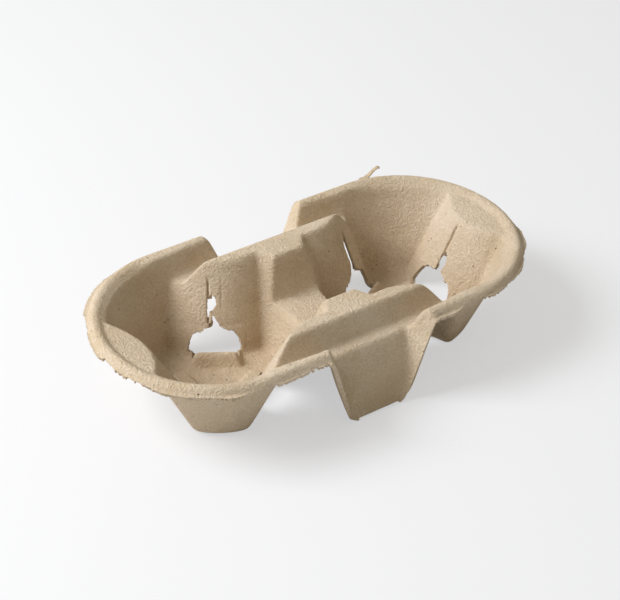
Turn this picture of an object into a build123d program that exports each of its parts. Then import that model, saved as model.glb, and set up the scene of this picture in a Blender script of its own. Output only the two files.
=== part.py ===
from build123d import *
import math
import os

# Moulded pulp carrier for two cups: one pressed sheet.
# X runs along the tray, Y across it, Z up; Z = 0 is the top of the rim,
# and the whole sheet is lifted onto its feet at the end.

# ---- overall sizes ----
SHEET = 1.8  # thickness of the pressed pulp
HEIGHT = 43.0  # feet to top of rim
TRIM_RADIUS = 55.0  # half the overall width, and radius of the trimmed ends
END_CENTRE = 55.0  # middle of each round end, from the middle of the tray

# ---- rim ----
FLANGE = 3.4  # flat trimmed edge outside the skirt
SKIRT_DROP = 5.2  # rim top to underside of the flange
CROWN_ROUND = 2.2  # rounding of the top of the rim
CROWN_WIDTH = 5.0  # top of the rim, inner wall to skirt
LIP_DROP = 2.2  # step down from the rim to the lip at each round end
LEDGE_DROP = 4.2  # end ledge where it meets the end flat

# ---- cup pockets: three rounded corners joined by three flats ----
CUP_CENTRE = 50.0
CUP_TOP_RADIUS = 45.4
CUP_FLOOR_RADIUS = 32.5
FLAT_INSET_TOP = 4.2  # cup wall to the flat's edges, at the top
FLAT_INSET_FLOOR = 7.7
FLAT_BULGE_TOP = 6.8  # how far a flat's middle stands in from its edges
FLAT_BULGE_FLOOR = 9.2
END_FLAT_EASE = 4.2  # how much less the end flats bulge, at the top

# ---- heel at the foot of each flat, window above it, slit up the flat ----
HEEL_REACH = 9.4  # middle of the cup to the heel's face
HEEL_WIDTH = 23.0
HEEL_HEIGHT = 6.2
WINDOW_START = 13.4  # middle of the cup to the cut edge on the heel
WINDOW_WIDTH = 25.4
WINDOW_TOP = 12.6  # above the floor
SLIT_WIDTH = 2.0
SLIT_TOP = 34.0  # above the floor
SLIT_FLARE = 9.0  # width of the slit where it opens into the window
SLIT_FLARE_RISE = 3.4

# ---- passage between the cups ----
PASSAGE_DEPTH = 20.5
PASSAGE_TOP_HALF = 18.5
PASSAGE_FLOOR_HALF = 13.0
PASSAGE_HALF_LENGTH = 40.0

# ---- finger recess along each side: shelf, then scoop down to the table ----
RIDGE_Y = 33.0  # outer face of the ridge at the top
RIDGE_FOOT_Y = 36.2  # and at the shelf
SHELF_DEPTH = 11.2
SHELF_OUTER_Y = 43.0
SHELF_HALF_LENGTH = 52.0
SCOOP_BACK_TOP_Y = 38.6
SCOOP_BACK_FOOT_Y = 54.0
SCOOP_BACK_TOP_HALF = 21.5
SCOOP_BACK_FOOT_HALF = 12.4
SCOOP_MOUTH_TOP_HALF = 30.4
SCOOP_MOUTH_FOOT_HALF = 14.2
SCOOP_CORNER = 5.0  # rounding between the scoop's back and sides

# ---- named clearances ----
OVERCUT = 4.0  # cutters run past the faces they open
FLOOR = -(HEIGHT - SHEET)  # inner floor of the cups
WINDOW_FOOT = HEEL_HEIGHT - 2 * SHEET
FLAT_EDGE_TOP = CUP_TOP_RADIUS - FLAT_INSET_TOP
FLAT_EDGE_FLOOR = CUP_FLOOR_RADIUS - FLAT_INSET_FLOOR
FLAT_MIDDLE_TOP = FLAT_EDGE_TOP - FLAT_BULGE_TOP
FLAT_MIDDLE_FLOOR = FLAT_EDGE_FLOOR - FLAT_BULGE_FLOOR
LEDGE_HALF_WIDTH = FLAT_EDGE_TOP / 2
SKIRT_RADIUS = TRIM_RADIUS - FLANGE
RIM_INNER = SKIRT_RADIUS - CROWN_WIDTH


def blend(top, foot, level):
    """Value of a sloping size at one level between the rim and the cup floor."""
    return top + (foot - top) * level / FLOOR


def polar(reach, angle):
    """Point at a distance and an angle from the middle of the right cup."""
    turn = math.radians(angle)
    return (CUP_CENTRE + reach * math.cos(turn), reach * math.sin(turn))


def cup_section(level, grow):
    """Outline of the right cup pocket at one level, grown outward by the sheet."""
    radius = blend(CUP_TOP_RADIUS, CUP_FLOOR_RADIUS, level) + grow
    edge = blend(FLAT_EDGE_TOP, FLAT_EDGE_FLOOR, level) + grow
    middle = blend(FLAT_MIDDLE_TOP, FLAT_MIDDLE_FLOOR, level) + grow
    spread = math.degrees(math.acos(edge / radius))
    ease = blend(END_FLAT_EASE, 0, level)
    with BuildSketch(Plane.XY.offset(level)) as section:
        with BuildLine():
            for facing, out in ((0, middle + ease), (120, middle), (240, middle)):
                ThreePointArc(
                    polar(radius, facing - spread),
                    polar(out, facing),
                    polar(radius, facing + spread),
                )
                ThreePointArc(
                    polar(radius, facing + spread),
                    polar(radius, facing + 60),
                    polar(radius, facing + 120 - spread),
                )
        make_face()
    return section.sketch


def scoop_section(level, grow):
    """Outline of the scoop on the far side at one level, open past the trimmed edge."""
    share = -level / HEIGHT
    back = SCOOP_BACK_TOP_Y + (SCOOP_BACK_FOOT_Y - SCOOP_BACK_TOP_Y) * share - grow
    inner = SCOOP_BACK_TOP_HALF + (SCOOP_BACK_FOOT_HALF - SCOOP_BACK_TOP_HALF) * share
    outer = SCOOP_MOUTH_TOP_HALF + (SCOOP_MOUTH_FOOT_HALF - SCOOP_MOUTH_TOP_HALF) * share
    mouth = TRIM_RADIUS + OVERCUT
    with BuildSketch(Plane.XY.offset(level)) as section:
        with BuildLine():
            Polyline(
                (-outer - grow, mouth),
                (-inner - grow, back),
                (inner + grow, back),
                (outer + grow, mouth),
                close=True,
            )
        make_face()
        backs = section.vertices().sort_by(Axis.Y)[:2]
        fillet(backs, SCOOP_CORNER * (1 - share) + SHEET)
    return section.sketch


def stadium(radius):
    """Plan outline of the tray at a distance from its two end centres."""
    with BuildSketch() as outline:
        SlotCenterToCenter(2 * END_CENTRE, 2 * radius)
    return outline.sketch


def passage_profile(grow):
    """Cross-section of the passage between the cups."""
    top = PASSAGE_TOP_HALF + grow
    foot = PASSAGE_FLOOR_HALF + grow
    with BuildSketch(Plane.YZ.offset(-PASSAGE_HALF_LENGTH)) as profile:
        with BuildLine():
            Polyline(
                (-top, 0),
                (-foot, -PASSAGE_DEPTH - grow),
                (foot, -PASSAGE_DEPTH - grow),
                (top, 0),
                (top, OVERCUT - grow),
                (-top, OVERCUT - grow),
                close=True,
            )
        make_face()
    return profile.sketch


def shelf_profile(grow):
    """Cross-section of the shelf on the far side, from the ridge to the rim wall."""
    with BuildSketch(Plane.YZ.offset(-SHELF_HALF_LENGTH)) as profile:
        with BuildLine():
            Polyline(
                (RIDGE_Y - grow, 0),
                (RIDGE_FOOT_Y - grow, -SHELF_DEPTH - grow),
                (SHELF_OUTER_Y + grow, -SHELF_DEPTH - grow),
                (RIM_INNER + grow, 0),
                (RIM_INNER + grow, OVERCUT - grow),
                (RIDGE_Y - grow, OVERCUT - grow),
                close=True,
            )
        make_face()
    return profile.sketch


def lip_outline(grow):
    """Plan of the step inside the right round end, grown outward by the sheet."""
    with BuildSketch(Plane.XY.offset(-LIP_DROP - grow)) as outline:
        with Locations((END_CENTRE, 0)):
            Circle(RIM_INNER + grow)
        with Locations((END_CENTRE - RIM_INNER, 0)):
            Rectangle(2 * RIM_INNER, 3 * RIM_INNER, mode=Mode.SUBTRACT)
    return outline.sketch


def ledge_profile(grow):
    """Cross-section of the sloping ledge above the right cup's end flat."""
    inner = CUP_CENTRE + FLAT_MIDDLE_TOP - OVERCUT
    outer = CUP_CENTRE + FLAT_EDGE_TOP + SHEET
    with BuildSketch(Plane.XZ.offset(-LEDGE_HALF_WIDTH)) as profile:
        with BuildLine():
            Polyline(
                (inner, -LEDGE_DROP - grow),
                (outer, -LIP_DROP - grow),
                (outer, -grow),
                (inner, -grow),
                close=True,
            )
        make_face()
    return profile.sketch


def flat_plane(facing):
    """Plane across the right cup's middle whose Z axis points at one flat."""
    turn = math.radians(facing)
    return Plane(
        origin=(CUP_CENTRE, 0, FLOOR),
        x_dir=(-math.sin(turn), math.cos(turn), 0),
        z_dir=(math.cos(turn), math.sin(turn), 0),
    )


FLATS = (0, 120, 240)

# ---- everything that lies above the sheet ----
with BuildPart() as hollow:
    # right cup, with the three heels left standing on its floor
    loft(sections=(cup_section(FLOOR, 0).face(), cup_section(0, 0).face()), ruled=True)
    for facing in FLATS:
        with BuildSketch(flat_plane(facing).offset(HEEL_REACH)):
            with Locations((0, (HEEL_HEIGHT - OVERCUT) / 2)):
                Rectangle(HEEL_WIDTH, HEEL_HEIGHT + OVERCUT)
        extrude(amount=FLAT_EDGE_TOP, mode=Mode.SUBTRACT)
    mouth = hollow.faces().sort_by(Axis.Z)[-1]
    extrude(mouth, amount=OVERCUT)
    # step inside the round end of the rim, and the ledge above the end flat
    extrude(lip_outline(0), amount=LIP_DROP + OVERCUT)
    extrude(ledge_profile(0), amount=2 * LEDGE_HALF_WIDTH)
    mirror(about=Plane.YZ)
    # passage from cup to cup
    extrude(passage_profile(0), amount=2 * PASSAGE_HALF_LENGTH)
    # finger recesses along both sides
    extrude(shelf_profile(0), amount=2 * SHELF_HALF_LENGTH)
    scoop = loft(
        sections=(scoop_section(-HEIGHT, 0).face(), scoop_section(0, 0).face()),
        ruled=True,
    )
    extrude(scoop.faces().sort_by(Axis.Z)[-1], amount=OVERCUT)
    extrude(scoop.faces().sort_by(Axis.Z)[0], amount=OVERCUT)
    mirror(about=Plane.XZ)

# ---- the same shapes one sheet larger, with the deck and the rim ----
with BuildPart() as pulp:
    loft(
        sections=(cup_section(-HEIGHT, SHEET).face(), cup_section(0, SHEET).face()),
        ruled=True,
    )
    for facing in FLATS:
        with BuildSketch(flat_plane(facing).offset(HEEL_REACH + SHEET)):
            with Locations((0, (HEEL_HEIGHT - SHEET - OVERCUT) / 2)):
                Rectangle(HEEL_WIDTH - 2 * SHEET, HEEL_HEIGHT - SHEET + OVERCUT)
        extrude(amount=FLAT_EDGE_TOP, mode=Mode.SUBTRACT)
    # window above each heel, and the slit that runs up the flat from it
    for facing in FLATS:
        with BuildSketch(flat_plane(facing).offset(WINDOW_START)):
            with Locations((0, (WINDOW_TOP + WINDOW_FOOT) / 2)):
                RectangleRounded(WINDOW_WIDTH, WINDOW_TOP - WINDOW_FOOT, SHEET)
            with BuildLine():
                Polyline(
                    (-SLIT_FLARE / 2, WINDOW_TOP - SHEET / 2),
                    (-SLIT_WIDTH / 2, WINDOW_TOP + SLIT_FLARE_RISE),
                    (-SLIT_WIDTH / 2, SLIT_TOP),
                    (SLIT_WIDTH / 2, SLIT_TOP),
                    (SLIT_WIDTH / 2, WINDOW_TOP + SLIT_FLARE_RISE),
                    (SLIT_FLARE / 2, WINDOW_TOP - SHEET / 2),
                    close=True,
                )
            make_face()
        extrude(amount=CUP_TOP_RADIUS, mode=Mode.SUBTRACT)
    # sheet under the lip and under the ledge
    extrude(lip_outline(SHEET), amount=LIP_DROP + SHEET)
    extrude(ledge_profile(SHEET), amount=2 * LEDGE_HALF_WIDTH)
    mirror(about=Plane.YZ)
    extrude(passage_profile(SHEET), amount=2 * PASSAGE_HALF_LENGTH)
    extrude(shelf_profile(SHEET), amount=2 * SHELF_HALF_LENGTH)
    loft(
        sections=(
            scoop_section(-HEIGHT, SHEET).face(),
            scoop_section(0, SHEET).face(),
        ),
        ruled=True,
    )
    mirror(about=Plane.XZ)

with BuildPart() as rim:
    extrude(stadium(SKIRT_RADIUS), amount=-SKIRT_DROP)
    crown = rim.edges().group_by(Axis.Z)[-1]
    fillet(crown, CROWN_ROUND)
    with BuildSketch(Plane.XY.offset(-SKIRT_DROP)):
        SlotCenterToCenter(2 * END_CENTRE, 2 * TRIM_RADIUS)
    extrude(amount=SHEET)

with BuildPart() as rim_core:
    extrude(stadium(SKIRT_RADIUS - SHEET), amount=-SKIRT_DROP - OVERCUT + SHEET)
    crown = rim_core.edges().group_by(Axis.Z)[-1]
    fillet(crown, CROWN_ROUND - SHEET)

# ---- the trimmed shape that everything stays inside ----
with BuildPart() as envelope:
    add(rim.part)
    with BuildSketch(Plane.XY.offset(-SKIRT_DROP)):
        SlotCenterToCenter(2 * END_CENTRE, 2 * TRIM_RADIUS)
    extrude(amount=-(HEIGHT - SKIRT_DROP))

# ---- the carrier ----
with BuildPart() as carrier:
    add(rim.part)
    add(rim_core.part.moved(Location((0, 0, -SHEET))), mode=Mode.SUBTRACT)
    add(pulp.part)
    add(hollow.part, mode=Mode.SUBTRACT)
    add(envelope.part, mode=Mode.INTERSECT)

cup_carrier = carrier.part.moved(Location((0, 0, HEIGHT)))
cup_carrier.label = "cup_carrier"

os.makedirs("parts", exist_ok=True)
export_step(cup_carrier, "parts/cup_carrier.step")
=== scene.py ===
"""Moulded pulp carrier for two cups: the pressed sheet, its torn edges, its finish and a plain studio."""

import logging  # noqa: E402
import math  # noqa: E402
from dataclasses import dataclass  # noqa: E402
from enum import Enum  # noqa: E402

import bpy  # noqa: E402
import numpy as np  # noqa: E402
from mathutils import Matrix, Vector  # noqa: E402


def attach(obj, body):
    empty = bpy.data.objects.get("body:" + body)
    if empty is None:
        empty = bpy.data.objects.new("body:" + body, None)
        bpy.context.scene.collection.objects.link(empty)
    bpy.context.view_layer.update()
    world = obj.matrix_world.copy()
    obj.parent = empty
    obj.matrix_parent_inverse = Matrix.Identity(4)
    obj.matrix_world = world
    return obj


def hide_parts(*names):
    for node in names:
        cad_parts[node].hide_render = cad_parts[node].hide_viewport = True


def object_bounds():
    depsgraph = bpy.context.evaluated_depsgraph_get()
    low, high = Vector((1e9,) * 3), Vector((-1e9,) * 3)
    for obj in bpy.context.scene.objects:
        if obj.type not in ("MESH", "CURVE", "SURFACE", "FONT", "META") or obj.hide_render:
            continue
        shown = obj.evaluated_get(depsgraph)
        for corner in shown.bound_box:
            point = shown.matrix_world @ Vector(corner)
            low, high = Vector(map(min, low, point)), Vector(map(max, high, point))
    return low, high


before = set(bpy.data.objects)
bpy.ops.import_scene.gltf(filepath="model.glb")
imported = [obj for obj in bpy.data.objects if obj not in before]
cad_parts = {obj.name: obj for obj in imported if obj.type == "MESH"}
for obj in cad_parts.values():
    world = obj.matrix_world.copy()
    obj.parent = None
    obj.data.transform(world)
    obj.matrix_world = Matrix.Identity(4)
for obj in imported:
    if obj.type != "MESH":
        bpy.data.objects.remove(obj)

CAD_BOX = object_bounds()
MM = 0.001
TINY = 1e-6
FAR = 1e3
THIRD_TURN = 2 * math.pi / 3
LOG = logging.getLogger("cup_carrier")
NODE = "cup_carrier"
BODY = "root"


class SheetSide(Enum):
    """The three surfaces of a pressed sheet, in the order of its material slots."""

    SMOOTH = 0
    SCREEN = 1
    TORN = 2


# ---------------------------------------------------------------- small tools


def deselect_all() -> None:
    """Leaves nothing selected and no object in edit mode."""
    if bpy.context.object and bpy.context.object.mode != "OBJECT":
        bpy.ops.object.mode_set(mode="OBJECT")
    bpy.ops.object.select_all(action="DESELECT")


def make_active(obj: bpy.types.Object) -> None:
    """Selects one object alone and makes it active.

    Args:
        obj: the object that the next operators act on.
    """
    deselect_all()
    obj.select_set(True)
    bpy.context.view_layer.objects.active = obj


def apply_modifier(obj: bpy.types.Object, kind: str, **settings: object) -> None:
    """Adds one modifier with its settings and applies it.

    Args:
        obj: the object to change.
        kind: the modifier's type name.
        settings: the modifier's own settings.
    """
    make_active(obj)
    modifier = obj.modifiers.new(kind.lower(), kind)
    for name, value in settings.items():
        setattr(modifier, name, value)
    bpy.ops.object.modifier_apply(modifier=modifier.name)


def read_values(items: bpy.types.bpy_prop_collection, name: str, kind: type, size: int = 1) -> np.ndarray:
    """One property of every vertex, corner or face of a mesh.

    Args:
        items: the mesh's vertices, loops or polygons.
        name: the property's name.
        kind: the type of its values.
        size: how many values each item has.

    Returns:
        The values in one row.
    """
    values = np.empty(len(items) * size, kind)
    items.foreach_get(name, values)
    return values


def read_points(obj: bpy.types.Object) -> np.ndarray:
    """Vertex positions of a mesh.

    Args:
        obj: a mesh object.

    Returns:
        One row of x, y, z for each vertex, in metres.
    """
    return read_values(obj.data.vertices, "co", float, 3).reshape(-1, 3)


def write_points(obj: bpy.types.Object, points: np.ndarray) -> None:
    """Moves the vertices of a mesh.

    Args:
        obj: a mesh object.
        points: one row of x, y, z for each vertex, in metres.
    """
    obj.data.vertices.foreach_set("co", points.astype(np.float32).ravel())
    obj.data.update()


def blur(values: np.ndarray, sigma: float) -> np.ndarray:
    """Rounds the folds of a height field.

    Args:
        values: heights on a regular grid.
        sigma: width of the rounding, in grid steps.

    Returns:
        The rounded heights.
    """
    reach = max(1, int(3 * sigma))
    taps = np.exp(-0.5 * (np.arange(-reach, reach + 1) / sigma) ** 2)
    taps /= taps.sum()
    padded = np.pad(values, reach, mode="edge")
    across = sum(tap * padded[:, i : i + values.shape[1]] for i, tap in enumerate(taps))
    return sum(tap * across[i : i + values.shape[0], :] for i, tap in enumerate(taps))


def ripple(position: np.ndarray, seed: int, waves: tuple[float, ...]) -> np.ndarray:
    """Smooth repeatable wander along a line, between about -1 and 1.

    Args:
        position: distance along the line, in millimetres.
        seed: picks one wander from many.
        waves: wavelengths that are added, in millimetres.

    Returns:
        The wander at each position.
    """
    draw = np.random.default_rng(seed)
    total = np.zeros_like(position)
    for wave in waves:
        phase = draw.uniform(0, 2 * math.pi)
        wobble = draw.uniform(0, 2 * math.pi)
        bend = 0.8 * np.sin(2 * math.pi * position / (2.7 * wave) + wobble)
        total += np.sin(2 * math.pi * position / wave + phase + bend)
    return total / len(waves)


def lumps(points: np.ndarray, seed: int, wave: float) -> np.ndarray:
    """Repeatable dimples over a surface, between about -1 and 1.

    Args:
        points: one row of x, y, z for each place, in millimetres.
        seed: picks one pattern from many.
        wave: usual distance between dimples, in millimetres.

    Returns:
        The pattern's value at each place.
    """
    draw = np.random.default_rng(seed)
    total = np.zeros(len(points))
    count = 9
    for _ in range(count):
        turn = draw.normal(size=3)
        turn *= 2 * math.pi / (wave * draw.uniform(0.7, 1.6) * np.linalg.norm(turn))
        total += np.sin(points @ turn + draw.uniform(0, 2 * math.pi))
    return total / math.sqrt(count)


def smooth_max(first: np.ndarray, second: np.ndarray, width: float) -> np.ndarray:
    """Larger of two heights, with the fold between them rounded.

    Args:
        first: heights of one face.
        second: heights of the other face.
        width: height over which one face turns into the other.

    Returns:
        The joined heights.
    """
    share = np.clip(0.5 + 0.5 * (first - second) / width, 0, 1)
    return second + (first - second) * share + width * share * (1 - share)


def between(pair: tuple[float, float], share: float) -> float:
    """Value part of the way from one number to another.

    Args:
        pair: the two numbers.
        share: 0 for the first, 1 for the second.

    Returns:
        The value between them.
    """
    return pair[0] + (pair[1] - pair[0]) * share


def band(position: np.ndarray, centre: float, width: float) -> np.ndarray:
    """Soft line: 1 on its centre, near 0 two widths away.

    Args:
        position: where each place lies across the line.
        centre: where the line lies.
        width: how wide the line is.

    Returns:
        The line's strength at each place.
    """
    return np.exp(-(((position - centre) / width) ** 2))


def turned(x: np.ndarray, y: np.ndarray, angle: float) -> tuple[np.ndarray, np.ndarray]:
    """Positions seen from a direction on the plan.

    Args:
        x: positions along the tray.
        y: positions across the tray.
        angle: the direction, in radians from +x.

    Returns:
        How far each place lies along the direction, and how far to its left.
    """
    along = x * math.cos(angle) + y * math.sin(angle)
    across = -x * math.sin(angle) + y * math.cos(angle)
    return along, across


# ---------------------------------------------------------------- the form


@dataclass(frozen=True)
class Tear:
    """How one flat of a cup is slit and torn; sizes in millimetres, heights from the rim top.

    The slit runs from top to foot, each given as its place across the flat and its height. It gapes
    between the two heights in gap, widens to a flare that starts at the place in flare, and ends in
    a window between the two places in window.
    """

    facing: float
    side: int
    top: tuple[float, float] = (-2.9, -7.0)
    foot: tuple[float, float] = (-2.9, -24.2)
    hair: float = 0.7
    gap: tuple[float, float] = (-13.4, -20.2)
    gap_width: float = 3.7
    flare: tuple[float, float] = (-0.4, -22.2)
    flare_half: float = 4.4
    window: tuple[float, float] = (-12.9, 12.9)
    start: float = 13.4
    seed: int = 1

    def axes(self, form: "TrayForm", x: np.ndarray, y: np.ndarray) -> tuple[np.ndarray, np.ndarray]:
        """Positions in this flat's own directions.

        Args:
            form: the tray's form.
            x: positions along the tray.
            y: positions across the tray.

        Returns:
            Distance towards the flat and distance across it, both far away at the other cup.
        """
        out = np.where(np.sign(x) == self.side, np.abs(x) - form.cup_centre, FAR)
        return turned(out, y, math.radians(self.facing))

    def line(self, z: np.ndarray) -> np.ndarray:
        """Place of the slit across the flat.

        Args:
            z: heights of the sheet.

        Returns:
            The place at each height.
        """
        share = np.clip((z - self.top[1]) / (self.foot[1] - self.top[1]), 0, 1)
        return between((self.top[0], self.foot[0]), share)


@dataclass(frozen=True)
class Tab:
    """A place where more of the flange is left, in millimetres on the plan."""

    x: float
    y: float
    spread: float
    reach: float


@dataclass(frozen=True)
class TrayForm:
    """Shape of the pressed sheet's upper face, in millimetres, with the rim top at height 0.

    A pair of sizes holds the one at the rim and the one at the floor. The cup's flats are arcs between
    two edges, given as distances from the cup's middle.
    """

    height: float
    half_width: float
    end_centre: float
    sheet: float = 1.8
    flange: float = 3.4
    crown_width: float = 5.0
    crown_rise: float = 2.2
    land_drop: float = 0.8
    skirt_slope: float = 9.0
    skirt_foot: float = -3.4
    lip_width: float = 1.4
    lip_drop: float = 2.2
    lip_slope: float = 2.2
    groove_depth: float = 0.9
    groove_place: float = 0.8
    groove_width: float = 0.6
    ledge_drop: float = 4.2
    end_fade: float = 10.0
    cup_centre: float = 50.0
    cup_radius: tuple[float, float] = (45.4, 32.5)
    flat_edge: tuple[float, float] = (41.2, 24.8)
    flat_middle: tuple[float, float] = (34.4, 15.6)
    end_radius: tuple[float, float] = (49.7, 32.5)
    end_edge: tuple[float, float] = (45.6, 24.8)
    end_middle: tuple[float, float] = (39.2, 15.6)
    cup_levels: int = 24
    below_floor: float = 1.3
    floor_round: float = 1.6
    heel_reach: float = 9.4
    heel_half: float = 11.5
    heel_height: float = 6.2
    heel_lean: float = 0.35
    window_top: float = -28.9
    window_leg: float = -38.6
    passage_depth: float = 20.5
    passage_top: float = 18.5
    passage_floor: float = 13.0
    passage_round: float = 1.0
    passage_overlap: float = 8.0
    ridge_y: float = 33.0
    ridge_foot_y: float = 36.2
    shelf_depth: float = 11.2
    shelf_outer: float = 43.0
    shelf_turn: float = 28.0
    overlap: float = 1.0
    scoop_back: tuple[float, float] = (38.6, 54.0)
    scoop_inner: tuple[float, float] = (21.5, 12.4)
    scoop_outer: tuple[float, float] = (28.6, 13.8)
    scoop_round: float = 4.0
    below_table: float = 6.0

    @property
    def floor(self) -> float:
        """Height of the cups' inner floor."""
        return self.sheet - self.height

    @property
    def skirt_radius(self) -> float:
        """Distance of the skirt from the middle line of the tray."""
        return self.half_width - self.flange

    @property
    def rim_inner(self) -> float:
        """Distance of the rim's inner wall from the middle line of the tray."""
        return self.skirt_radius - self.crown_width

    @property
    def lip_radius(self) -> float:
        """Inner radius of the lip at each round end."""
        return self.rim_inner - self.lip_width

    def reach(self, x: np.ndarray, y: np.ndarray) -> np.ndarray:
        """Distance from the line between the two end centres.

        Args:
            x: positions along the tray.
            y: positions across the tray.

        Returns:
            The distance at each place.
        """
        return np.hypot(np.maximum(np.abs(x) - self.end_centre, 0), y)

    def cup_outline(self, angle: np.ndarray, share: float) -> np.ndarray:
        """Distance of the cup wall from the cup's middle at one level.

        Args:
            angle: direction from the cup's middle; a flat faces 0.
            share: 0 at the rim, 1 at the floor.

        Returns:
            The distance in each direction.
        """
        turn = (angle + THIRD_TURN / 2) % THIRD_TURN - THIRD_TURN / 2
        facing_end = np.abs(angle) < THIRD_TURN / 2
        offset = self.end_centre - self.cup_centre
        ring = offset * np.cos(angle) + np.sqrt(self.lip_radius**2 - (offset * np.sin(angle)) ** 2)
        wider = np.maximum(ring - self.cup_radius[0], 0) * (1 - share)
        outline = between(self.cup_radius, share) + wider
        end_flat = (facing_end, self.end_radius, self.end_edge, self.end_middle)
        side_flats = (~facing_end, self.cup_radius, self.flat_edge, self.flat_middle)
        for here, radii, edges, middles in (end_flat, side_flats):
            radius, edge, middle = (between(pair, share) for pair in (radii, edges, middles))
            spread = math.acos(edge / radius)
            half = radius * math.sin(spread)
            sag = edge - middle
            bulge = (half * half + sag * sag) / (2 * sag)
            centre = middle + bulge
            inside = np.maximum(bulge**2 - (centre * np.sin(turn)) ** 2, 0)
            flat = centre * np.cos(turn) - np.sqrt(inside)
            outline = np.where(here & (np.abs(turn) < spread), flat, outline)
        return outline

    def cup(self, x: np.ndarray, y: np.ndarray) -> np.ndarray:
        """Height of a cup pocket with its three heels.

        Args:
            x: positions along the tray.
            y: positions across the tray.

        Returns:
            The height at each place.
        """
        out = np.abs(x) - self.cup_centre
        rho = np.hypot(out, y)
        angle = np.arctan2(y, out)
        levels = np.linspace(0, 1, self.cup_levels + 1)
        outer = self.cup_outline(angle, 0.0)
        share = np.zeros_like(rho)
        for upper, lower in zip(levels[:-1], levels[1:]):
            inner = self.cup_outline(angle, lower)
            part = (outer - rho) / np.maximum(outer - inner, TINY)
            here = (rho <= outer) & (rho > inner)
            share = np.where(here, upper + (lower - upper) * part, share)
            outer = inner
        share = np.where(rho <= outer, self.below_floor, share)
        height = smooth_max(self.floor * share, np.full_like(rho, self.floor), self.floor_round)
        for facing in (0.0, THIRD_TURN, -THIRD_TURN):
            along, across = turned(out, y, facing)
            rise = (along - self.heel_reach) / self.heel_lean
            side = (self.heel_half - np.abs(across)) / self.heel_lean
            heel = self.floor + np.clip(np.minimum(rise, side), 0, self.heel_height)
            height = np.maximum(height, heel)
        return height

    def end_step(self, x: np.ndarray, y: np.ndarray) -> np.ndarray:
        """Height of the groove and lip inside each round end and of the ledge above the end flat.

        Args:
            x: positions along the tray.
            y: positions across the tray.

        Returns:
            The height at each place, 0 where there is no step.
        """
        out = np.abs(x) - self.end_centre
        inside = self.rim_inner - np.hypot(out, y)
        lip = np.maximum(-self.lip_drop, -inside * self.lip_slope)
        groove = -self.groove_depth * band(inside, self.groove_place, self.groove_width)
        ledge_length = self.end_centre + self.lip_radius - self.cup_centre - self.end_middle[0]
        slope = (self.ledge_drop - self.lip_drop) / ledge_length
        ledge = -np.maximum(inside - self.lip_width, 0) * slope
        step = (lip + groove + ledge) * np.clip(out / self.end_fade, 0, 1)
        return np.where((out > 0) & (inside > 0), step, 0)

    def passage(self, x: np.ndarray, y: np.ndarray) -> np.ndarray:
        """Height of the passage between the cups.

        Args:
            x: positions along the tray.
            y: positions across the tray.

        Returns:
            The height at each place.
        """
        slope = self.passage_depth / (self.passage_top - self.passage_floor)
        wall = (np.abs(y) - self.passage_top) * slope
        height = smooth_max(wall, np.full_like(wall, -self.passage_depth), self.passage_round)
        return np.where(np.abs(x) < self.cup_centre - self.passage_overlap, height, 0)

    def shelf(self, x: np.ndarray, y: np.ndarray) -> np.ndarray:
        """Height of the shelf between a ridge and the rim wall, which runs into the cup wall.

        Args:
            x: positions along the tray.
            y: positions across the tray.

        Returns:
            The height at each place.
        """
        side = np.abs(y)
        ridge = -(side - self.ridge_y) * self.shelf_depth / (self.ridge_foot_y - self.ridge_y)
        near_cup = np.clip((np.abs(x) - self.shelf_turn) / (self.cup_centre - self.shelf_turn), 0, 1)
        draw_in = (self.rim_inner - self.cup_radius[0]) * near_cup**2 * (3 - 2 * near_cup)
        slope = self.shelf_depth / (self.rim_inner - self.shelf_outer)
        wall = (side - self.rim_inner + draw_in) * slope
        height = np.maximum(np.maximum(ridge, wall), -self.shelf_depth)
        here = (side > self.ridge_y - self.overlap) & (np.abs(x) < self.cup_centre + self.overlap)
        return np.where(here, height, 0)

    def scoop(self, x: np.ndarray, y: np.ndarray) -> np.ndarray:
        """Height of the scoop that runs from the shelf down to the table.

        Args:
            x: positions along the tray.
            y: positions across the tray.

        Returns:
            The height at each place.
        """
        side = np.abs(y)
        back_top, back_foot = self.scoop_back
        back = -self.height * (side - back_top) / (back_foot - back_top)
        share = (side - back_top) / (self.half_width - back_top)
        wide = between((self.scoop_inner[0], self.scoop_outer[0]), share)
        narrow = between((self.scoop_inner[1], self.scoop_outer[1]), share)
        wall = -self.height * (wide - np.abs(x)) / (wide - narrow)
        height = smooth_max(back, wall, self.scoop_round)
        return np.where(side > back_top - 2 * self.overlap, height, 0)

    def rim(self, x: np.ndarray, y: np.ndarray) -> np.ndarray:
        """Height of the land, the rounded crown, the skirt and the flange.

        Args:
            x: positions along the tray.
            y: positions across the tray.

        Returns:
            The height at each place.
        """
        reach = self.reach(x, y)
        middle = (self.rim_inner + self.skirt_radius) / 2
        share = np.clip((reach - middle) / (self.crown_width / 2), -1, 1)
        crown = self.crown_rise * (np.sqrt(1 - share**2) - 1)
        crown = np.where(reach > middle, crown, np.maximum(crown, -self.land_drop))
        past = reach - self.skirt_radius
        skirt = np.maximum(-self.crown_rise - past * self.skirt_slope, self.skirt_foot)
        edge = np.where(past > 0, skirt, crown)
        return np.where(reach < self.rim_inner, 0, edge)

    def surface(self, x: np.ndarray, y: np.ndarray) -> np.ndarray:
        """Height of the whole upper face, folds still sharp.

        Args:
            x: positions along the tray.
            y: positions across the tray.

        Returns:
            The height at each place.
        """
        holes = (self.cup, self.end_step, self.passage, self.shelf, self.scoop)
        height = self.rim(x, y)
        for hole in holes:
            height = np.minimum(height, hole(x, y))
        return np.maximum(height, -self.height - self.below_table)


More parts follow.
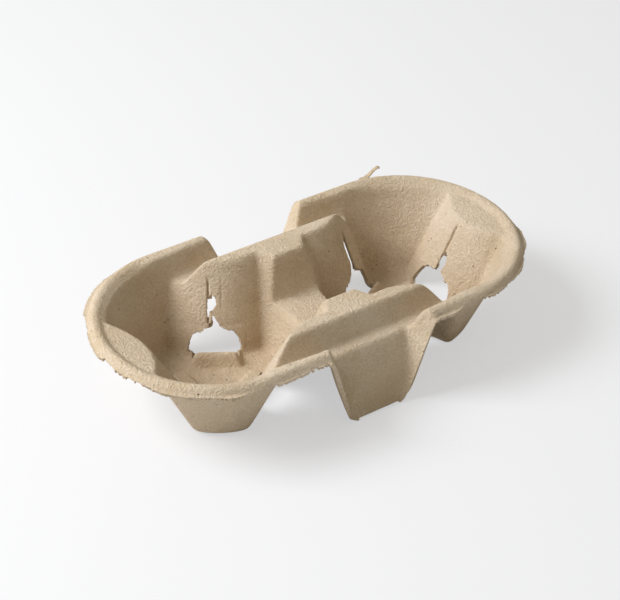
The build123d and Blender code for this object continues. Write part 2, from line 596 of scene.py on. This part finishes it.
TEARS: tuple[Tear, ...] = (
    Tear(facing=120, side=-1, top=(-3.1, -7.4), foot=(-3.1, -25.4), gap=(-14, -21), gap_width=3.2,
         flare=(-1.0, -23.0), flare_half=4.0, window=(-13.4, 13.4), seed=3),
    Tear(facing=0, side=-1, top=(-3.0, -8.0), foot=(-1.6, -25.0), gap_width=2.2, gap=(-16, -22),
         start=17.4, seed=5),
    Tear(facing=-120, side=-1, top=(2.9, -7.0), foot=(2.0, -24.0), gap_width=1.6, gap=(-15, -20),
         window=(-9.0, 9.0), start=17.4, seed=7),
    Tear(facing=120, side=1, foot=(-2.4, -26.0), gap=(-10.5, -25.5), gap_width=2.6, seed=11),
    Tear(facing=0, side=1, top=(2.1, -6.4), foot=(0.7, -25.9), gap=(-19, -27), gap_width=-3.2,
         flare=(-1.5, -25.5), seed=13),
    Tear(facing=-120, side=1, top=(2.9, -7.0), foot=(1.8, -24.0), gap_width=2.0, gap=(-14, -19), seed=17),
)

TABS: tuple[Tab, ...] = (
    Tab(x=-96, y=37, spread=9, reach=2.2),
    Tab(x=-88, y=46, spread=4, reach=2.4),
    Tab(x=104, y=-27, spread=7, reach=2.4),
    Tab(x=-78, y=-51, spread=6, reach=1.2),
    Tab(x=38, y=-55, spread=6, reach=1.4),
)


@dataclass(frozen=True)
class TearShape:
    """What all the tears share, in millimetres: frayed edges, window outline and slit width."""

    fray: float = 0.3
    fray_waves: tuple[float, float] = (3.7, 1.9)
    bow: float = 0.02
    wander: float = 0.35
    wander_waves: tuple[float, float] = (9.0, 4.0)
    corner_start: float = 8.5
    corner_width: float = 4.4
    corner_drop: float = 7.0
    leg_inner: float = 10.2
    above_floor: float = 0.8
    wall_depth: float = 3.0
    flare_tip: float = 0.35
    flare_power: float = 1.6
    flare_limit: float = 1.3
    flare_above_window: float = 0.5
    flare_into_window: float = 2.0

    def window(self, tear: Tear, form: TrayForm, across: np.ndarray, z: np.ndarray) -> np.ndarray:
        """Where the window leaves no sheet, on a flat.

        Args:
            tear: the tear that the window belongs to.
            form: the tray's form.
            across: places across the flat.
            z: heights of the sheet.

        Returns:
            True inside the window.
        """
        fray = self.fray * ripple(z + across, tear.seed, self.fray_waves)
        wander = self.wander * ripple(across, tear.seed + 1, self.wander_waves)
        level = form.window_top - self.bow * across**2 - wander
        corner = np.clip((np.abs(across) - self.corner_start) / self.corner_width, 0, 1) ** 2
        low = np.where(np.abs(across) > self.leg_inner, form.window_leg, form.floor + self.above_floor)
        inside = (across > tear.window[0] - fray) & (across < tear.window[1] + fray)
        return inside & (z < level - corner * self.corner_drop) & (z > low)

    def slit(self, tear: Tear, form: TrayForm, across: np.ndarray, z: np.ndarray) -> np.ndarray:
        """Where the gaping slit and its flare leave no sheet, on a flat.

        Args:
            tear: the tear that the slit belongs to.
            form: the tray's form.
            across: places across the flat.
            z: heights of the sheet.

        Returns:
            True inside the slit or its flare.
        """
        fray = self.fray * ripple(z + across, tear.seed, self.fray_waves)
        line = tear.line(z)
        middle = sum(tear.gap) / 2
        half = (tear.gap[0] - tear.gap[1]) / 2
        belly = np.sqrt(np.clip(1 - ((z - middle) / half) ** 2, 0, 1))
        edge = line + tear.gap_width * belly
        left = np.minimum(line, edge) - tear.hair / 2
        right = np.maximum(line, edge) + tear.hair / 2 + fray * belly
        open_slit = (across > left) & (across < right) & (belly > 0)
        flare_x, flare_top = tear.flare
        length = flare_top - form.window_top - self.flare_above_window
        fall = np.clip((flare_top - z) / length, 0, self.flare_limit)
        wide = self.flare_tip + tear.flare_half * fall**self.flare_power
        flare = (np.abs(across - flare_x * (1 - fall)) < wide) & (z < flare_top)
        return open_slit | (flare & (z > form.window_top - self.flare_into_window))


@dataclass(frozen=True)
class PressMarks:
    """Shallow lines pressed into each flat and under the rim, in millimetres."""

    slit_depth: float = 3.4
    slit_width: float = 0.42
    bar_depth: float = 0.7
    bar_offset: float = 5.9
    bar_width: float = 0.4
    bar_span: tuple[float, float] = (-6.4, -20.0)
    bar_top: float = -6.8
    pad_depth: float = 0.8
    pad_place: float = 14.2
    pad_width: float = 0.5
    pad_span: tuple[float, float] = (-26.5, -39.0)
    crease_depth: float = 0.7
    crease_height: float = -26.8
    crease_width: float = 0.9
    crease_half: float = 14.5
    fold_depth: float = 0.35
    fold_place: float = 0.5
    fold_width: float = 0.45
    edge_margin: float = 3.0

    def depth(self, tear: Tear, across: np.ndarray, z: np.ndarray) -> np.ndarray:
        """Depth of the lines around one slit and window.

        Args:
            tear: the tear on this flat.
            across: places across the flat.
            z: heights of the sheet.

        Returns:
            The depth at each place.
        """
        tear_x, tear_top = tear.top
        slit = band(across, tear.line(z), self.slit_width) * ((z < tear_top) & (z > tear.foot[1]))
        on_bar = (z < self.bar_span[0]) & (z > self.bar_span[1])
        bar = band(across, tear_x + self.bar_offset, self.bar_width) * on_bar
        under_bar = np.abs(across - tear_x - self.bar_offset / 2) < self.bar_offset / 2
        bar = bar + 0.5 * band(z, self.bar_top, self.bar_width) * under_bar
        on_pad = (z < self.pad_span[0]) & (z > self.pad_span[1])
        pad = band(np.abs(across), self.pad_place, self.pad_width) * on_pad
        crease = band(z, self.crease_height, self.crease_width) * (np.abs(across) < self.crease_half)
        marks = self.bar_depth * bar + self.pad_depth * pad + self.crease_depth * crease
        return self.slit_depth * slit + marks


@dataclass
class PressedSheet:
    """The carrier itself: one sheet of pulp pressed over the form, trimmed, slit and torn.

    Sizes are in millimetres. The grid step sets how fine the sheet is before it is thinned out. A row
    of trim_ripples is a seed, a share and its wavelengths; a row of lumps is a seed, a distance and a
    height.
    """

    form: TrayForm
    tears: TearShape = TearShape()
    marks: PressMarks = PressMarks()
    step: float = 0.4
    fold: float = 0.9
    faces_per_side: int = 94000
    trim_back: float = 2.4
    trim_wander: float = 0.85
    trim_limit: float = 3.9
    least_trim: float = 1.3
    trim_ripples: tuple[tuple[int, float, tuple[float, ...]], ...] = (
        (21, 0.8, (61.0, 27.0)),
        (22, 0.3, (11.0, 5.3, 3.1, 1.9)),
    )
    trim_margin: float = 0.5
    snap_reach: float = 0.7
    screen_lumps: tuple[tuple[int, float, float], ...] = ((31, 3.0, 0.10), (32, 1.7, 0.06))
    smooth_lumps: tuple[tuple[int, float, float], ...] = ((33, 4.5, 0.035), (34, 2.0, 0.02))
    foot_share: float = 0.34
    smooth_angle: float = 55.0
    foot_zone: float = 0.9
    foot_calm: float = 0.3

    def trim(self, x: np.ndarray, y: np.ndarray) -> np.ndarray:
        """Signed distance past the trimmed edge, ragged along the flange.

        Args:
            x: positions along the tray.
            y: positions across the tray.

        Returns:
            Distance in millimetres, positive where the sheet is cut away.
        """
        form = self.form
        past_centre = np.sign(x) * np.maximum(np.abs(x) - form.end_centre, 0)
        turn = np.arctan2(y, past_centre + TINY * MM)
        along = turn * form.half_width + np.clip(x, -form.end_centre, form.end_centre)
        wander = sum(share * ripple(along, seed, waves) for seed, share, waves in self.trim_ripples)
        flange = np.clip(np.abs(x) - form.scoop_outer[0], 0, 1)
        cut = np.clip(self.trim_back + self.trim_wander * wander, 0, self.trim_limit)
        for tab in TABS:
            cut = cut - tab.reach * band(x, tab.x, tab.spread) * band(y, tab.y, tab.spread)
        cut = np.maximum(cut * flange, self.least_trim)
        return form.reach(x, y) - (form.half_width - cut)

    def torn_away(self, x: np.ndarray, y: np.ndarray, z: np.ndarray) -> np.ndarray:
        """Where the windows and slits leave no sheet.

        Args:
            x: positions along the tray.
            y: positions across the tray.
            z: heights of the sheet.

        Returns:
            True where the sheet is missing.
        """
        form = self.form
        shape = self.tears
        gone = np.zeros(x.shape, bool)
        for tear in TEARS:
            along, across = tear.axes(form, x, y)
            middles = form.end_middle if tear.facing == 0 else form.flat_middle
            wall = between(middles, z / form.floor) + shape.wall_depth + shape.bow * across**2
            on_flat = (along > tear.start) & (along < wall)
            window = shape.window(tear, form, across, z)
            gone |= (window | shape.slit(tear, form, across, z)) & on_flat
        return gone

    def emboss(self, x: np.ndarray, y: np.ndarray, z: np.ndarray) -> np.ndarray:
        """Shallow press marks around each slit and window, and the fold under the rim.

        Args:
            x: positions along the tray.
            y: positions across the tray.
            z: heights of the sheet.

        Returns:
            Height to add to the sheet.
        """
        form = self.form
        marks = self.marks
        height = np.zeros_like(z)
        for tear in TEARS:
            along, across = tear.axes(form, x, y)
            edges = form.end_edge if tear.facing == 0 else form.flat_edge
            on_flat = (along > tear.start) & (along < edges[0] - marks.edge_margin)
            height -= np.where(on_flat, marks.depth(tear, across, z), 0)
        past = form.reach(x, y) - form.skirt_radius
        beside_scoop = np.abs(x) > form.scoop_outer[0] + form.overlap
        return height - marks.fold_depth * band(past, marks.fold_place, marks.fold_width) * beside_scoop

    def build(self) -> bpy.types.Object:
        """Presses, trims, tears and thickens the sheet.

        Returns:
            The finished mesh object, with three material slots to fill.
        """
        form = self.form
        half_x = form.end_centre + form.half_width + 2 * self.step
        half_y = form.half_width + 2 * self.step
        cells_x = round(2 * half_x / self.step)
        cells_y = round(2 * half_y / self.step)
        deselect_all()
        bpy.ops.mesh.primitive_grid_add(x_subdivisions=cells_x, y_subdivisions=cells_y, size=2)
        sheet = bpy.context.object
        sheet.name = "pressed_sheet"
        points = read_points(sheet)
        x = points[:, 0] * half_x
        y = points[:, 1] * half_y
        z = self.press(x, y)
        gone = self.torn_away(x, y, z)
        lowest = -(form.height - self.foot_share * form.sheet)
        gone |= (z < lowest) | (self.trim(x, y) > self.trim_margin * self.step)
        z = z + self.emboss(x, y, z)
        self.snap_trim(x, y)
        write_points(sheet, np.stack([x, y, z + form.height], 1) * MM)
        self.cut_faces(sheet, gone)
        ratio = min(1.0, self.faces_per_side / (2 * len(sheet.data.polygons)))
        apply_modifier(sheet, "DECIMATE", ratio=ratio)
        self.face_upward(sheet)
        apply_modifier(
            sheet,
            "SOLIDIFY",
            thickness=form.sheet * MM,
            offset=-1.0,
            material_offset=SheetSide.SCREEN.value,
            material_offset_rim=SheetSide.TORN.value,
        )
        self.roughen(sheet)
        make_active(sheet)
        bpy.ops.object.shade_smooth_by_angle(angle=math.radians(self.smooth_angle))
        return sheet

    def press(self, x: np.ndarray, y: np.ndarray) -> np.ndarray:
        """Heights of the sheet over the form, with every fold rounded.

        Args:
            x: positions along the tray, on a regular grid in any order.
            y: positions across the tray.

        Returns:
            The height at each place.
        """
        order = np.lexsort((x.round(4), y.round(4)))
        columns = int((np.abs(y - y.min()) < TINY).sum())
        raw = self.form.surface(x, y)
        rounded = blur(raw[order].reshape(-1, columns), self.fold / self.step)
        z = np.empty_like(raw)
        z[order] = rounded.ravel()
        return z

    def roughen(self, sheet: bpy.types.Object) -> None:
        """Gives the screen side its dimples and the smooth side a faint unevenness.

        Args:
            sheet: the thickened sheet.
        """
        mesh = sheet.data
        owner = read_values(mesh.polygons, "material_index", np.int32)
        totals = read_values(mesh.polygons, "loop_total", np.int32)
        corners = read_values(mesh.loops, "vertex_index", np.int32)
        under = np.zeros(len(mesh.vertices), bool)
        under[corners[np.repeat(owner, totals) == SheetSide.SCREEN.value]] = True
        points = read_points(sheet) / MM
        rough = sum(lumps(points, seed, wave) * height for seed, wave, height in self.screen_lumps)
        faint = sum(lumps(points, seed, wave) * height for seed, wave, height in self.smooth_lumps)
        lift = np.where(under, rough, faint)
        lift = np.where(points[:, 2] < self.foot_zone, np.abs(lift) * self.foot_calm, lift)
        points[:, 2] = np.clip(points[:, 2] + lift, 0.0, self.form.height)
        write_points(sheet, points * MM)

    def snap_trim(self, x: np.ndarray, y: np.ndarray) -> None:
        """Draws points near the trimmed edge onto it, so that the cut line is clean.

        Args:
            x: positions along the tray, changed in place.
            y: positions across the tray, changed in place.
        """
        past = self.trim(x, y)
        near = np.abs(past) < self.snap_reach * self.step
        away_x = np.sign(x) * np.maximum(np.abs(x) - self.form.end_centre, 0)
        length = np.maximum(np.hypot(away_x, y), TINY)
        x[near] -= (past * away_x / length)[near]
        y[near] -= (past * y / length)[near]

    @staticmethod
    def cut_faces(sheet: bpy.types.Object, gone: np.ndarray) -> None:
        """Deletes the faces that have at least two missing corners.

        Args:
            sheet: the pressed grid.
            gone: True for each vertex that lies in a hole.
        """
        make_active(sheet)
        mesh = sheet.data
        corners = read_values(mesh.loops, "vertex_index", np.int32)
        lost = gone[corners].reshape(-1, 4).sum(1) >= 2
        bpy.ops.object.mode_set(mode="EDIT")
        bpy.ops.mesh.select_mode(type="FACE")
        bpy.ops.mesh.select_all(action="DESELECT")
        bpy.ops.object.mode_set(mode="OBJECT")
        mesh.polygons.foreach_set("select", lost)
        bpy.ops.object.mode_set(mode="EDIT")
        bpy.ops.mesh.delete(type="FACE")
        bpy.ops.mesh.select_all(action="SELECT")
        bpy.ops.mesh.delete_loose()
        bpy.ops.object.mode_set(mode="OBJECT")

    @staticmethod
    def face_upward(sheet: bpy.types.Object) -> None:
        """Turns the open sheet so that its smooth face looks up.

        Args:
            sheet: the open sheet.
        """
        normals = read_values(sheet.data.polygons, "normal", float, 3)
        if normals.reshape(-1, 3)[:, 2].mean() < 0:
            make_active(sheet)
            bpy.ops.object.mode_set(mode="EDIT")
            bpy.ops.mesh.select_all(action="SELECT")
            bpy.ops.mesh.flip_normals()
            bpy.ops.object.mode_set(mode="OBJECT")


@dataclass(frozen=True)
class TornCurl:
    """A shred of the flange that stands up from the far rim, in millimetres."""

    name: str = "torn_curl"
    path: tuple[tuple[float, float, float], ...] = (
        (65.5, 52.6, -3.6),
        (68.5, 52.6, -3.3),
        (70.8, 52.9, -2.8),
        (72.4, 53.1, -1.8),
        (74.3, 53.1, -0.6),
        (76.2, 53.0, 0.2),
        (77.0, 52.9, -0.3),
    )
    widths: tuple[float, float] = (2.2, 0.7)
    thickness: float = 0.8
    twist: float = 0.35
    fray: float = 0.25
    fray_length: float = 12.0
    fray_waves: tuple[float, float] = (2.3, 1.1)
    steps: int = 24
    rows: int = 3
    seed: int = 41
    smooth_angle: float = 60.0

    def build(self, form: TrayForm) -> bpy.types.Object:
        """Bends a tapering strip along its path and thickens it.

        Args:
            form: the tray's form, whose rim top is height 0.

        Returns:
            The finished strip.
        """
        deselect_all()
        bpy.ops.mesh.primitive_grid_add(x_subdivisions=self.steps, y_subdivisions=self.rows, size=2)
        strip = bpy.context.object
        strip.name = self.name
        points = read_points(strip)
        share = (points[:, 0] + 1) / 2
        stations = np.linspace(0, 1, len(self.path))
        x, y, z = (np.interp(share, stations, axis) for axis in zip(*self.path))
        half = between(self.widths, share) / 2
        ragged = self.fray * ripple(share * self.fray_length, self.seed, self.fray_waves)
        y = y + points[:, 1] * (half + ragged * (1 - share))
        z = z + self.twist * points[:, 1] * share
        write_points(strip, np.stack([x, y, z + form.height], 1) * MM)
        apply_modifier(strip, "SOLIDIFY", thickness=self.thickness * MM, offset=0.0)
        make_active(strip)
        bpy.ops.object.shade_smooth_by_angle(angle=math.radians(self.smooth_angle))
        return strip


# ---------------------------------------------------------------- the finish

Fed = float | tuple[float, ...] | bpy.types.NodeSocket


@dataclass(frozen=True)
class Wiring:
    """Adds nodes to one tree. An input takes a number, a colour or another node's output."""

    tree: bpy.types.NodeTree

    def feed(self, socket: bpy.types.NodeSocket, value: Fed) -> None:
        """Links an output to a socket, or writes a plain value into it.

        Args:
            socket: the input to fill.
            value: what goes in.
        """
        if isinstance(value, bpy.types.NodeSocket):
            self.tree.links.new(value, socket)
        else:
            socket.default_value = value

    def node(self, kind: str, **inputs: Fed) -> bpy.types.Node:
        """Adds one node and fills its inputs.

        Args:
            kind: the node's type name.
            inputs: a value for each named input, with _ for a space in the name.

        Returns:
            The node.
        """
        made = self.tree.nodes.new(kind)
        for name, value in inputs.items():
            self.feed(made.inputs[name.replace("_", " ")], value)
        return made

    def math(self, operation: str, *values: Fed) -> bpy.types.NodeSocket:
        """Adds one sum.

        Args:
            operation: the sum's kind.
            values: its terms, in order.

        Returns:
            The result.
        """
        made = self.tree.nodes.new("ShaderNodeMath")
        made.operation = operation
        for socket, value in zip(made.inputs, values):
            self.feed(socket, value)
        return made.outputs[0]

    def remap(self, value: Fed, span: tuple[float, float]) -> bpy.types.NodeSocket:
        """Turns a span of values into 0 to 1 and holds it there.

        Args:
            value: the value to turn.
            span: the value that becomes 0 and the value that becomes 1.

        Returns:
            The result.
        """
        made = self.node("ShaderNodeMapRange", Value=value, From_Min=span[0], From_Max=span[1])
        return made.outputs["Result"]

    def blend(self, share: Fed, first: Fed, second: Fed, colours: bool = True) -> bpy.types.NodeSocket:
        """Mixes two colours or two numbers.

        Args:
            share: 0 for the first, 1 for the second.
            first: the first colour or number.
            second: the second colour or number.
            colours: whether colours are mixed rather than numbers.

        Returns:
            The mixture.
        """
        made = self.tree.nodes.new("ShaderNodeMix")
        made.data_type = "RGBA" if colours else "FLOAT"
        for name, value in (("Factor", share), ("A", first), ("B", second)):
            self.feed(made.inputs[name], value)
        return made.outputs["Result"]


@dataclass(frozen=True)
class PulpGrain:
    """Shared grain of dried pulp and a mask of stain mixed with painted shade low on the sheet, a node
    group for every finish; scales are per metre.
    """

    cloud_scale: float = 38.0
    coarse_scale: float = 0.28
    dot_scale: float = 260.0
    dot_size: tuple[float, float] = (0.13, 0.05)
    dot_patches: tuple[float, float] = (0.5, 0.6)
    strand_turns: tuple[float, float] = (0.5, -0.7)
    strand_stretch: tuple[tuple[float, ...], ...] = ((380.0, 1500.0, 900.0), (1500.0, 420.0, 900.0))
    strand_tilt: tuple[float, float] = (0.3, 0.2)
    strand_span: tuple[float, float] = (0.5, 0.72)
    # heights in metres and cloud values over which the stain mixed with painted shade fades in, low on the
    # sheet
    stain_and_shade_heights: tuple[float, float] = (0.030, 0.006)
    stain_and_shade_patches: tuple[float, float] = (0.38, 0.62)
    strand_relief: float = 0.22
    pit_relief: float = -0.5

    def build(self) -> bpy.types.NodeTree:
        """Makes the group.

        Returns:
            A group with inputs Scale and Coarse Share and outputs Cloud, Grain, Fibre, Specks, the mask of
            a stain mixed with painted shade low on the sheet, and Height.
        """
        group = bpy.data.node_groups.new("pulp_grain", "ShaderNodeTree")
        face = group.interface
        for name in ("Scale", "Coarse Share"):
            face.new_socket(name, in_out="INPUT", socket_type="NodeSocketFloat")
        for name in ("Cloud", "Grain", "Fibre", "Specks", "Stain And Shade", "Height"):
            face.new_socket(name, in_out="OUTPUT", socket_type="NodeSocketFloat")
        wiring = Wiring(group)
        entry = group.nodes.new("NodeGroupInput").outputs
        place = group.nodes.new("ShaderNodeTexCoord").outputs["Object"]
        noise = "ShaderNodeTexNoise"
        cloud = wiring.node(noise, Vector=place, Scale=self.cloud_scale, Detail=4.0, Roughness=0.6)
        grain = wiring.node(noise, Vector=place, Scale=entry["Scale"], Detail=5.0, Roughness=0.75)
        wide = wiring.math("MULTIPLY", entry["Scale"], self.coarse_scale)
        coarse = wiring.node(noise, Vector=place, Scale=wide, Detail=3.0, Roughness=0.6)
        specks = self.specks(wiring, place, coarse.outputs["Fac"])
        strands = self.strands(wiring, place)
        height = wiring.blend(entry["Coarse Share"], grain.outputs["Fac"], coarse.outputs["Fac"], False)
        height = wiring.math("MULTIPLY_ADD", strands, self.strand_relief, height)
        height = wiring.math("MULTIPLY_ADD", specks, self.pit_relief, height)
        made = {
            "Cloud": cloud.outputs["Fac"],
            "Grain": grain.outputs["Fac"],
            "Fibre": strands,
            "Specks": specks,
            # mask of a stain mixed with painted shade, browner towards the bottom of the pockets
            "Stain And Shade": self.stain_and_shade(wiring, place, cloud.outputs["Fac"]),
            "Height": height,
        }
        leave = group.nodes.new("NodeGroupOutput")
        for name, value in made.items():
            wiring.feed(leave.inputs[name], value)
        return group

    def specks(self, wiring: Wiring, place: Fed, coarse: Fed) -> bpy.types.NodeSocket:
        """Dark specks, in patches.

        Args:
            wiring: the group's wiring.
            place: the piece's own coordinates.
            coarse: coarse noise that sets the patches.

        Returns:
            1 inside a speck.
        """
        dots = wiring.node("ShaderNodeTexVoronoi", Vector=place, Scale=self.dot_scale, Randomness=1.0)
        speck = wiring.remap(dots.outputs["Distance"], self.dot_size)
        return wiring.math("MULTIPLY", speck, wiring.remap(coarse, self.dot_patches))

    def strands(self, wiring: Wiring, place: Fed) -> bpy.types.NodeSocket:
        """Two crossing layers of short strands.

        Args:
            wiring: the group's wiring.
            place: the piece's own coordinates.

        Returns:
            1 along a strand.
        """
        layers = []
        for turn, stretch in zip(self.strand_turns, self.strand_stretch):
            lay = wiring.node(
                "ShaderNodeMapping", Vector=place, Rotation=(*self.strand_tilt, turn), Scale=stretch
            )
            layer = wiring.node(
                "ShaderNodeTexNoise", Vector=lay.outputs["Vector"], Scale=1.0, Detail=2.0
            )
            layers.append(layer.outputs["Fac"])
        return wiring.remap(wiring.math("MAXIMUM", *layers), self.strand_span)

    def stain_and_shade(self, wiring: Wiring, place: Fed, cloud: Fed) -> bpy.types.NodeSocket:
        """Cloudy stain mixed with painted shade low on the sheet, strongest at the bottom of the pockets.

        Args:
            wiring: the group's wiring.
            place: the piece's own coordinates.
            cloud: cloudy noise that sets the patches.

        Returns:
            1 where the stain and the painted shade are strongest.
        """
        axes = wiring.node("ShaderNodeSeparateXYZ", Vector=place)
        low = wiring.remap(axes.outputs["Z"], self.stain_and_shade_heights)
        return wiring.math("MULTIPLY", low, wiring.remap(cloud, self.stain_and_shade_patches))


@dataclass(frozen=True)
class PulpFinish:
    """One surface of unbleached pulp; relief is the grain's depth in millimetres."""

    name: str
    pale: tuple[float, float, float]
    dark: tuple[float, float, float]
    grain_scale: float
    coarse_share: float
    relief: float
    # colour of a stain, also used as painted shade low in the pockets
    stain_and_shade_colour: tuple[float, float, float] = (0.47, 0.30, 0.14)
    fleck: tuple[float, float, float] = (0.20, 0.11, 0.045)
    # how much of the stain and painted shade low on the sheet is mixed in
    stain_and_shade: float = 0.5
    cloud_share: float = 0.45
    grain_share: float = 0.55
    fibre_share: float = 0.10
    tone_span: tuple[float, float] = (0.38, 0.64)
    roughness: float = 0.95
    specular: float = 0.12

    def material(self, grain: bpy.types.NodeTree) -> bpy.types.Material:
        """Makes the finish.

        Args:
            grain: the shared grain group.

        Returns:
            The material.
        """
        made = bpy.data.materials.new(self.name)
        made.use_nodes = True
        wiring = Wiring(made.node_tree)
        shader = made.node_tree.nodes["Principled BSDF"]
        shader.inputs["Roughness"].default_value = self.roughness
        shader.inputs["Specular IOR Level"].default_value = self.specular
        group = made.node_tree.nodes.new("ShaderNodeGroup")
        group.node_tree = grain
        group.inputs["Scale"].default_value = self.grain_scale
        group.inputs["Coarse Share"].default_value = self.coarse_share
        fine = wiring.math("MULTIPLY", group.outputs["Grain"], self.grain_share)
        tone = wiring.math("MULTIPLY_ADD", group.outputs["Cloud"], self.cloud_share, fine)
        tone = wiring.math("MULTIPLY_ADD", group.outputs["Fibre"], self.fibre_share, tone)
        tone = wiring.remap(tone, self.tone_span)
        # Stain and painted shade: the colour turns browner low on the sheet, towards the bottom of the
        # pockets.
        stain_and_shade = wiring.math("MULTIPLY", group.outputs["Stain And Shade"], self.stain_and_shade)
        colour = wiring.blend(tone, (*self.dark, 1), (*self.pale, 1))
        colour = wiring.blend(stain_and_shade, colour, (*self.stain_and_shade_colour, 1))
        colour = wiring.blend(group.outputs["Specks"], colour, (*self.fleck, 1))
        wiring.feed(shader.inputs["Base Color"], colour)
        bump = wiring.node(
            "ShaderNodeBump", Strength=1.0, Distance=self.relief * MM, Height=group.outputs["Height"]
        )
        wiring.feed(shader.inputs["Normal"], bump.outputs["Normal"])
        return made


FINISHES: dict[SheetSide, PulpFinish] = {
    SheetSide.SMOOTH: PulpFinish("pulp_smooth", (0.85, 0.725, 0.58), (0.66, 0.515, 0.345), 900, 0.35, 1.6),
    SheetSide.SCREEN: PulpFinish("pulp_screen", (0.81, 0.695, 0.56), (0.59, 0.465, 0.32), 480, 0.6, 3.6),
    SheetSide.TORN: PulpFinish("pulp_torn", (0.88, 0.75, 0.57), (0.64, 0.48, 0.28), 800, 0.5, 2.4),
}


# ---------------------------------------------------------------- the studio


@dataclass(frozen=True)
class Studio:
    """Pale floor, soft light and the camera, in metres, watts and degrees."""

    azimuth: float = 37.61
    elevation: float = 37.21
    roll: float = 3.44
    distance: float = 0.7561
    lens: float = 101.07
    clip_start: float = 0.01
    target: tuple[float, float, float] = (-0.01328, -0.01598, 0.043)
    floor_size: float = 6.0
    floor_level: float = -0.0002
    floor_colour: tuple[float, float, float] = (0.82, 0.83, 0.86)
    floor_roughness: float = 0.9
    floor_lift: float = 0.55
    floor_seen: tuple[float, float, float] = (0.93, 0.935, 0.95)
    world_colour: tuple[float, float, float] = (1.0, 0.945, 0.80)
    world_strength: float = 0.36
    key_place: tuple[float, float, float] = (-0.80, 0.42, 0.86)
    key_aim: tuple[float, float, float] = (0.0, 0.0, 0.02)
    key_size: float = 0.6
    key_power: float = 17.5
    key_colour: tuple[float, float, float] = (0.98, 0.985, 1.0)

    def camera(self) -> None:
        """Places the camera."""
        turn, lift, roll = (math.radians(v) for v in (self.azimuth, self.elevation, self.roll))
        back = Vector((-math.sin(turn) * math.cos(lift), -math.cos(turn) * math.cos(lift), math.sin(lift)))
        right = Vector((math.cos(turn), -math.sin(turn), 0))
        above = back.cross(right)
        side = right * math.cos(roll) + above * math.sin(roll)
        top = above * math.cos(roll) - right * math.sin(roll)
        data = bpy.data.cameras.new("camera")
        data.lens = self.lens
        data.clip_start = self.clip_start
        made = bpy.data.objects.new("camera", data)
        bpy.context.scene.collection.objects.link(made)
        facing = Matrix((side, top, back)).transposed().to_4x4()
        made.matrix_world = Matrix.Translation(Vector(self.target) + back * self.distance) @ facing
        bpy.context.scene.camera = made

    def key(self) -> None:
        """Hangs one soft square lamp aimed at the tray."""
        data = bpy.data.lights.new("key", "AREA")
        data.size = self.key_size
        data.energy = self.key_power
        data.color = self.key_colour
        made = bpy.data.objects.new("key", data)
        bpy.context.scene.collection.objects.link(made)
        aim = Vector(self.key_aim) - Vector(self.key_place)
        facing = aim.to_track_quat("-Z", "Y").to_matrix().to_4x4()
        made.matrix_world = Matrix.Translation(Vector(self.key_place)) @ facing

    def floor(self) -> None:
        """Lays the pale floor; a paler colour is mixed in where the camera sees it directly."""
        deselect_all()
        bpy.ops.mesh.primitive_plane_add(size=self.floor_size, location=(0, 0, self.floor_level))
        floor = bpy.context.object
        floor.name = "studio_floor"
        made = bpy.data.materials.new("studio_floor")
        made.use_nodes = True
        nodes = made.node_tree.nodes
        wiring = Wiring(made.node_tree)
        shader = nodes["Principled BSDF"]
        shader.inputs["Base Color"].default_value = (*self.floor_colour, 1)
        shader.inputs["Roughness"].default_value = self.floor_roughness
        seen = wiring.node("ShaderNodeEmission", Color=(*self.floor_seen, 1))
        path = wiring.node("ShaderNodeLightPath")
        share = wiring.math("MULTIPLY", path.outputs["Is Camera Ray"], self.floor_lift)
        mixed = nodes.new("ShaderNodeMixShader")
        for socket, value in zip(mixed.inputs, (share, shader.outputs["BSDF"], seen.outputs["Emission"])):
            wiring.feed(socket, value)
        wiring.feed(nodes["Material Output"].inputs["Surface"], mixed.outputs["Shader"])
        floor.data.materials.append(made)

    def world(self) -> None:
        """Sets an even pale surround."""
        surround = bpy.data.worlds.new("surround")
        surround.use_nodes = True
        back = surround.node_tree.nodes["Background"]
        back.inputs["Color"].default_value = (*self.world_colour, 1)
        back.inputs["Strength"].default_value = self.world_strength
        bpy.context.scene.world = surround

    def build(self) -> None:
        """Sets up the whole studio."""
        self.camera()
        self.floor()
        self.world()
        self.key()
        bpy.context.scene.view_settings.view_transform = "Standard"


def main() -> None:
    """Builds the carrier and the studio."""
    low, high = CAD_BOX
    length, width, height = ((b - a) / MM for a, b in zip(low, high))
    # The round ends' facets stop a hair short of the true length, which is a whole number.
    half_length = round(length) / 2
    form = TrayForm(height=height, half_width=width / 2, end_centre=half_length - width / 2)
    grain = PulpGrain().build()
    finishes = {side: FINISHES[side].material(grain) for side in SheetSide}
    sheet = PressedSheet(form).build()
    for side in SheetSide:
        sheet.data.materials.append(finishes[side])
    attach(sheet, BODY)
    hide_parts(NODE)
    LOG.info("pressed sheet: %d faces", len(sheet.data.polygons))
    curl = TornCurl().build(form)
    curl.data.materials.append(finishes[SheetSide.TORN])
    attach(curl, BODY)
    LOG.info("torn curl: %d faces", len(curl.data.polygons))
    Studio().build()


if __name__ == "__main__":
    logging.basicConfig(level=logging.INFO)
    main()
